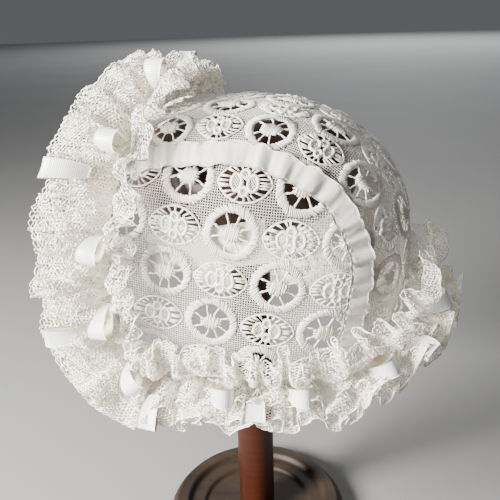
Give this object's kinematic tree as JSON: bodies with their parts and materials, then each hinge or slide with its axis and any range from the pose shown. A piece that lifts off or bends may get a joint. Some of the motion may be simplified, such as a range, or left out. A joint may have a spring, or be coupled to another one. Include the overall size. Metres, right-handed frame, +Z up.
{
  "type": "lace bonnet on a turned wooden stand",
  "caption": "Baby bonnet of pierced lace with gathered net ruches and ribbon loops, worn on a turned wooden stand.",
  "frame": {"origin": "middle of the stand base's underside, on the surface that it stands on", "axes": "+Z up along the post, face opening towards -X, nape towards +X, near side of the cap towards -Y"},
  "size_m": [0.1406, 0.1311, 0.2115],
  "materials": {
    "lace": "matt cotton lace",
    "tape": "woven cotton tape",
    "net": "fine cotton net",
    "ribbon": "satin ribbon",
    "tie": "matt silk strip",
    "dark_wood": "polished dark wood",
    "red_wood": "polished red-brown wood",
    "pale_wood": "waxed pale wood"
  },
  "bodies": {
    "root": {"side_panel_near": "lace", "side_panel_far": "lace", "crown_strip": "lace", "seam_tape_near": "tape", "seam_tape_far": "tape", "face_ruche": "net", "neck_ruche": "net", "ribbon_loop_near_1": "ribbon", "ribbon_loop_near_2": "ribbon", "ribbon_loop_near_3": "ribbon", "ribbon_loop_near_4": "ribbon", "ribbon_loop_near_5": "ribbon", "ribbon_loop_near_6": "ribbon", "ribbon_loop_near_7": "ribbon", "ribbon_loop_near_8": "ribbon", "ribbon_loop_near_9": "ribbon", "ribbon_loop_far_1": "ribbon", "ribbon_loop_far_2": "ribbon", "ribbon_loop_far_3": "ribbon", "ribbon_loop_far_4": "ribbon", "ribbon_loop_far_5": "ribbon", "ribbon_loop_far_6": "ribbon", "ribbon_loop_far_7": "ribbon", "ribbon_loop_far_8": "ribbon", "ribbon_loop_far_9": "ribbon", "ribbon_end_near_1": "ribbon", "ribbon_end_near_2": "ribbon", "ribbon_end_near_3": "ribbon", "ribbon_end_near_4": "ribbon", "ribbon_end_near_5": "ribbon", "ribbon_end_far_1": "ribbon", "ribbon_end_far_2": "ribbon", "ribbon_end_far_3": "ribbon", "ribbon_end_far_4": "ribbon", "ribbon_end_far_5": "ribbon", "tie_strip": "tie", "stand_base": "pale_wood", "stand_post": "red_wood", "stand_dome": "dark_wood"}
  },
  "joints": []
}
